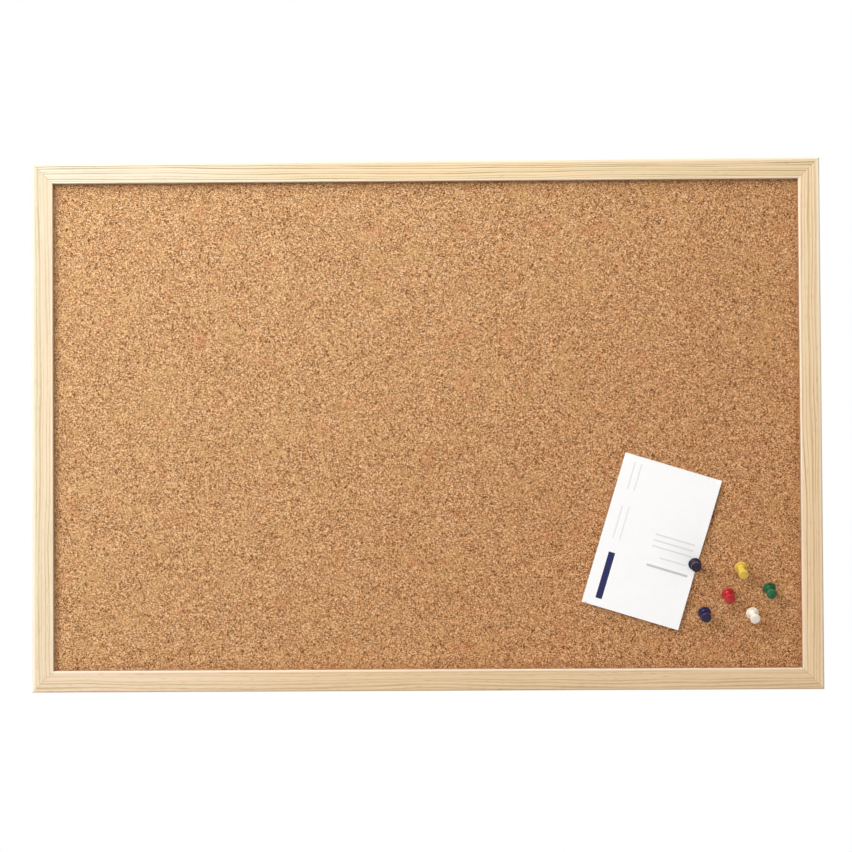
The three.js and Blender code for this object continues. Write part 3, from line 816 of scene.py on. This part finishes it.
def note_card():
    """The card, pressed down where its needle goes through, and standing a little off the cork beyond."""
    shape = merged_copy("note_card")
    bmesh.ops.triangulate(shape, faces=shape.faces)
    joint = next(joint for joint in frame["joints"] if joint["name"] == "note_card_turn")
    hole = Vector(joint["pos_m"])
    across = Vector((math.cos(card_tilt), 0, -math.sin(card_tilt)))
    along = Vector((math.sin(card_tilt), 0, math.cos(card_tilt)))
    for direction in (across, along):
        spans = [direction.dot(v.co) for v in shape.verts]
        low, high = min(spans), max(spans)
        steps = round((high - low) / card_grid)
        for i in range(1, steps):
            place = direction * (low + (high - low) * i / steps)
            geometry = list(shape.verts) + list(shape.edges) + list(shape.faces)
            bmesh.ops.bisect_plane(shape, geom=geometry, plane_co=place, plane_no=direction)
    bmesh.ops.recalc_face_normals(shape, faces=shape.faces)
    layer = shape.loops.layers.uv.new("card")
    left, bottom = (min(direction.dot(v.co) for v in shape.verts) for direction in (across, along))
    for face in shape.faces:
        for loop in face.loops:
            spot = (across.dot(loop.vert.co) - left, along.dot(loop.vert.co) - bottom)
            loop[layer].uv = spot if face.normal.y < 0 else (-spot[0], -spot[1])
    reach = max((v.co - hole).length for v in shape.verts)
    for v in shape.verts:
        away = (v.co - hole).length
        pressed = math.exp(-(away / card_press_radius) ** 2)
        v.co.y -= card_lift * (1 - pressed) + card_corner_curl * (away / reach) ** 2
    mesh = mesh_from("note_card", shape)
    piece("pinned_note_card", smoothed(mesh, 40), "card", "note_card", "card", "note_card")


def wire(name, points, normal, radius, sides):
    """A round wire along flat points, closed at its two ends, with normal square to their plane."""
    shape = bmesh.new()
    rings = []
    last = len(points) - 1
    for i, point in enumerate(points):
        direction = (points[min(i + 1, last)] - points[max(i - 1, 0)]).normalized()
        side = direction.cross(normal).normalized()
        rings.append([shape.verts.new(point + radius * (math.cos(a) * side + math.sin(a) * normal))
                      for a in around(sides)])
    skin(shape, rings)
    shape.faces.new(rings[0])
    shape.faces.new(rings[-1])
    bmesh.ops.recalc_face_normals(shape, faces=shape.faces)
    return mesh_from(name, shape)


def ring_points():
    """The ring's wire line in its own plane, from the gap in its straight leg round the bow and back."""
    corner = ring_half_width - ring_corner_radius
    shoulder = ring_corner_radius + ring_leg_length
    line = [(ring_butt_gap / 2, 0), (corner * 0.5, 0)]
    line += arc((corner, ring_corner_radius), ring_corner_radius, -90, 0)
    line += arc((0, shoulder), ring_half_width, 0, 180, 4 * curve_steps)
    line += arc((-corner, ring_corner_radius), ring_corner_radius, 180, 270)
    line += [(-corner * 0.5, 0), (-ring_butt_gap / 2, 0)]
    return [Vector((x, 0, z)) for x, z in line]


def hangers():
    for side, right in (("left", -1), ("right", 1)):
        ring = wire(f"{side}_ring", ring_points(), Vector((0, 1, 0)), ring_wire_radius, ring_wire_sides)
        place = Vector((right * hanger_x, ring_axis_height, hanger_z))
        ring.transform(Matrix.Translation(place) @ Matrix.Rotation(ring_lean, 4, "X"))
        piece(f"{side}_hanger_ring", smoothed(ring), "zinc", f"hanger_ring_{side}", "zinc_plate",
              f"hanger_ring_{side}")
        strap = mesh_from(f"{side}_strap", eased_copy(f"hanger_strap_{side}"))
        piece(f"{side}_hanger_strap", smoothed(strap), "zinc", "board", "zinc_plate", f"hanger_strap_{side}")


def recess_corners(scale):
    """The corners of a cross, anticlockwise, as its arms run at that share of their full span and width."""
    span, width = recess_half_span * scale, recess_half_width * scale
    arm = [(span, -width), (span, width), (width, width)]
    return [(x * cos - y * sin, x * sin + y * cos)
            for cos, sin in ((1, 0), (0, 1), (-1, 0), (0, -1)) for x, y in arm]


def cross_head_screw(name):
    """A pan-head screw with a cross recess: the head's underside at the origin, and +Z out of the head."""
    tip = screw_tip_length - screw_shank_length
    rim = (screw_head_radius - screw_head_rim, screw_head_height - screw_head_rim)
    outline = [(0, -screw_shank_length), (screw_shank_radius * 0.6, tip * 1.14), (screw_shank_radius, tip),
               (screw_shank_radius, 0), (screw_head_radius, 0)]
    outline += arc(rim, screw_head_rim, 0, 90, 5)
    shape, top = turned_shape(outline, 32)
    cross, floor_of_cross = ([shape.verts.new((x, y, height)) for x, y in recess_corners(scale)]
                             for scale, height in ((1.0, screw_head_height),
                                                   (recess_taper, screw_head_height - recess_depth)))
    edges = [shape.edges.get((a, b)) or shape.edges.new((a, b))
             for loop in (top, cross) for a, b in zip(loop, loop[1:] + loop[:1])]
    bmesh.ops.triangle_fill(shape, use_beauty=True, edges=edges)
    for i in range(len(cross)):
        shape.faces.new((cross[i - 1], cross[i], floor_of_cross[i], floor_of_cross[i - 1]))
    shape.faces.new(floor_of_cross)
    bmesh.ops.recalc_face_normals(shape, faces=shape.faces)
    return smoothed(mesh_from(name, shape), 30)


def random_share(seed):
    """A random number for each point, 0 to 1."""
    inputs = {2: 0.0, 3: 1.0, "Seed": seed}
    return linked("FunctionNodeRandomValue", inputs, data_type="FLOAT")[1]


def turned_at_random(rotation, seed, low, high):
    """The rotation, begun with a turn whose three angles are random between low and high."""
    angles = linked("FunctionNodeRandomValue", {0: low, 1: high, "Seed": seed}, data_type="FLOAT_VECTOR")[0]
    turn = linked("FunctionNodeEulerToRotation", {0: angles})[0]
    return linked("FunctionNodeRotateRotation", {0: rotation, 1: turn}, rotation_space="LOCAL")[0]


def copied(points, source, rotation, size=(1.0, 1.0, 1.0)):
    """Copies of an object's shape on points."""
    shape = linked("GeometryNodeObjectInfo", {"Object": source})["Geometry"]
    inputs = {"Points": points, "Instance": shape, "Rotation": rotation, "Scale": size}
    return linked("GeometryNodeInstanceOnPoints", inputs)[0]


def made_real(copies, finish):
    """Copies made into plain geometry with that finish."""
    real = linked("GeometryNodeRealizeInstances", {"Geometry": copies})[0]
    return linked("GeometryNodeSetMaterial", {"Geometry": real, "Material": finish})[0]


def screws_tree():
    """Sets a copy of a screw at every point, its head towards +Y, each driven to its own turn."""
    inputs = {"Places": "Geometry", "Screw": "Object", "Seed": "Int", "Finish": "Material"}
    tree, given, out = new_tree("GeometryNodeTree", "driven_screws", inputs, {"Screws": "Geometry"})
    outwards = node(tree, "FunctionNodeEulerToRotation", {0: (-math.pi / 2, 0.0, 0.0)}).outputs[0]
    rotation = turned_at_random(outwards, given["Seed"], (0.0, 0.0, 0.0), (0.0, 0.0, math.pi / 2))
    screws = copied(given["Places"], given["Screw"], rotation)
    feed(tree, out, {"Screws": made_real(screws, given["Finish"])})
    return tree


def hanger_screws():
    """Two screws through each hanger's strap."""
    places = bpy.data.meshes.new("screw_places")
    spots = [(x, screw_seat, hanger_z - drop) for x in (-hanger_x, hanger_x) for drop in screw_drops]
    places.from_pydata(spots, [], [])
    single = shown("one_screw", cross_head_screw("one_screw"))
    mesh = grown("hanger_screws", screws_tree(), places,
                 {"Screw": single, "Seed": 4, "Finish": finishes["zinc"]})
    bpy.data.objects.remove(single)
    piece("hanger_screws", mesh, "zinc", "board", "zinc_plate",
          *(f"hanger_screw_{side}_{end}" for side in ("left", "right") for end in ("upper", "lower")))


def panel_points():
    for name in frame["nodes"]:
        if name.startswith("panel_point"):
            point = mesh_from(name, eased_copy(name))
            piece("steel_" + name, smoothed(point), "steel", "board", "steel", name)


def frame_rails():
    for name in pine_rails:
        rail = mesh_from(name, merged_copy(name))
        piece("pine_" + name.split("_", 1)[1], smoothed(rail, 25), name, "board", "pine", name)


def carried_over():
    """CAD nodes whose shape is right keep it, and take a finish."""
    for name, cad_node in frame["nodes"].items():
        finish = {"cork_sheet": "cork", "core_board": "softboard", "back_panel": "hardboard"}.get(name)
        if name.startswith("corner_vnail"):
            finish = "steel"
        if finish:
            cad_node.data.materials.clear()
            cad_node.data.materials.append(finishes[finish])


def crumb_mesh(name, seed, corners, flatness):
    """One irregular granule about one unit wide, with a dozen faces."""
    chance = random.Random(seed)
    shape = bmesh.new()
    for i in range(corners):
        turn = 2 * math.pi * (i + chance.uniform(-0.3, 0.3)) / corners
        reach = chance.uniform(0.36, 0.55)
        height = flatness * chance.uniform(0.35, 1.0) * (1 if i % 2 else -1)
        shape.verts.new((reach * math.cos(turn), reach * math.sin(turn), height))
    shape.verts.new((chance.uniform(-0.1, 0.1), chance.uniform(-0.1, 0.1), flatness))
    shape.verts.new((chance.uniform(-0.1, 0.1), chance.uniform(-0.1, 0.1), -flatness))
    hull = bmesh.ops.convex_hull(shape, input=shape.verts)
    unused = [e for e in hull["geom_interior"] if isinstance(e, bmesh.types.BMVert)]
    bmesh.ops.delete(shape, geom=unused, context="VERTS")
    bmesh.ops.recalc_face_normals(shape, faces=shape.faces)
    return mesh_from(name, shape)


def scatter_tree():
    """Scatters copies of a crumb over a face, clear of the pin holes, each with a size, turn and tint."""
    inputs = {"Face": "Geometry", "Crumb": "Object", "Clear Of": "Object", "Clearance": "Float",
              "Density": "Float", "Smallest": "Float", "Largest": "Float", "Seed": "Int",
              "Finish": "Material"}
    tree, given, out = new_tree("GeometryNodeTree", "scattered_crumbs", inputs, {"Crumbs": "Geometry"})
    seed = given["Seed"]
    inputs = {"Mesh": given["Face"], "Density": given["Density"], "Seed": seed}
    points = linked("GeometryNodeDistributePointsOnFaces", inputs)
    holes = linked("GeometryNodeObjectInfo", {"Object": given["Clear Of"]})["Geometry"]
    near = linked("GeometryNodeProximity", {0: holes}, target_element="POINTS")["Distance"]
    close = linked("FunctionNodeCompare", {0: near, 1: given["Clearance"]}, operation="LESS_THAN")[0]
    kept = linked("GeometryNodeDeleteGeometry", {"Geometry": points["Points"], "Selection": close})[0]
    skewed = calc("POWER", random_share(seed), crumb_size_power)
    spread = calc("SUBTRACT", given["Largest"], given["Smallest"])
    width = calc("MULTIPLY_ADD", skewed, spread, given["Smallest"])
    rotation = turned_at_random(points["Rotation"], calc("ADD", seed, 1),
                                (-crumb_lean, -crumb_lean, 0.0), (crumb_lean, crumb_lean, 2 * math.pi))
    crumbs = copied(kept, given["Crumb"], rotation, width)
    tint = random_share(calc("ADD", seed, 2))
    inputs = {"Geometry": crumbs, "Name": "tint", "Value": tint}
    crumbs = linked("GeometryNodeStoreNamedAttribute", inputs, data_type="FLOAT", domain="INSTANCE")[0]
    feed(tree, out, {"Crumbs": made_real(crumbs, given["Finish"])})
    return tree


def grown(name, tree, start, values):
    """The plain mesh that a tree makes from a start mesh and its named inputs."""
    seat = shown(name, start)
    modifier = seat.modifiers.new("tree", "NODES")
    modifier.node_group = tree
    for item in tree.interface.items_tree:
        if item.in_out == "INPUT" and item.name in values:
            modifier[item.identifier] = values[item.name]
    graph = bpy.context.evaluated_depsgraph_get()
    mesh = bpy.data.meshes.new_from_object(seat.evaluated_get(graph), preserve_all_data_layers=True,
                                           depsgraph=graph)
    bpy.data.objects.remove(seat)
    mesh.name = name
    return mesh


def cork_crumbs():
    """Pale crumbs and dark bark flecks that stand a hair's breadth out of the cork face."""
    tree = scatter_tree()
    holes = bpy.data.meshes.new("pin_holes")
    entries = []
    for name in pins:
        placement = pin_placement(name)
        axis = placement.col[2].xyz
        entries.append(placement.translation + axis * (cork_face - placement.translation.y) / axis.y)
    holes.from_pydata([list(p) for p in entries], [], [])
    hole_points = shown("pin_holes", holes)
    width, height = visible_half_width - crumb_inset, visible_half_height - crumb_inset
    y = cork_face + crumb_stand
    for name, (finish, seed, corners, density, smallest, largest) in crumb_kinds.items():
        face = bpy.data.meshes.new("cork_face")
        face.from_pydata([(-width, y, -height), (width, y, -height), (width, y, height), (-width, y, height)],
                         [], [(0, 1, 2, 3)])
        single = shown(name + "_one", crumb_mesh(name + "_one", seed, corners, crumb_flatness))
        mesh = grown(name, tree, face, {"Crumb": single, "Clear Of": hole_points, "Clearance": pin_clearance,
                                        "Density": density, "Smallest": smallest, "Largest": largest,
                                        "Seed": seed, "Finish": finishes[finish]})
        bpy.data.objects.remove(single)
        piece(name, mesh, finish, "board", "cork")
    bpy.data.objects.remove(hole_points)


def floor():
    """A pale floor that shines faintly where the camera sees it."""
    shape = bmesh.new()
    bmesh.ops.create_circle(shape, cap_ends=True, segments=96, radius=floor_radius)
    mesh = mesh_from("floor", shape)
    mesh.transform(Matrix.Translation((0, 0, floor_height)))
    finish = material("pale_floor")[0]
    seen = node(finish.node_tree, "ShaderNodeLightPath").outputs["Is Camera Ray"]
    glow = {"Emission Color": white, "Emission Strength": calc("MULTIPLY", seen, floor_glow)}
    mesh.materials.append(surfaced(finish, floor_grey, 0.9, more=glow))
    shown("floor", mesh)


def room():
    """A pale room: white where it is seen, and a softer fill, brighter from above, where it lights."""
    world = bpy.data.worlds.new("pale_room")
    bpy.context.scene.world = world
    world.use_nodes = True
    tree = world.node_tree
    tree.nodes.clear()
    path = node(tree, "ShaderNodeLightPath").outputs
    seen = calc("MAXIMUM", path["Is Camera Ray"], path["Is Transmission Ray"])
    upwards = parts_of(node(tree, "ShaderNodeTexCoord").outputs["Generated"])["Z"]
    strength = ramp(upwards, -1.0, 1.0, room_fill_below, room_fill_above)
    fill = linked("ShaderNodeBackground", {"Color": room_colour, "Strength": strength})[0]
    backdrop = node(tree, "ShaderNodeBackground", {"Color": white, "Strength": 1.0}).outputs[0]
    both = linked("ShaderNodeMixShader", {0: seen, 1: fill, 2: backdrop})[0]
    node(tree, "ShaderNodeOutputWorld", {"Surface": both})


def lighting():
    for name, (stand, distance, width, height, power) in lamps.items():
        data = bpy.data.lights.new(name, "AREA")
        data.shape = "RECTANGLE"
        data.size = width
        data.size_y = height
        data.energy = power
        data.color = lamp_colour
        lamp = shown(name, data)
        direction = Vector(stand).normalized()
        lamp.location = direction * distance
        lamp.rotation_euler = direction.to_track_quat("Z", "Y").to_euler()
        lamp.visible_camera = False


def camera():
    data = bpy.data.cameras.new("photo_view")
    data.lens = camera_lens
    data.sensor_width = 36
    made = shown("photo_view", data)
    made.location = camera_place
    made.rotation_euler = camera_angles
    bpy.context.scene.camera = made


camera()
room()
lighting()
floor()
bpy.context.scene.view_settings.view_transform = "Standard"

carried_over()
frame_rails()
cork_crumbs()
hangers()
hanger_screws()
panel_points()
note_card()
push_pins()
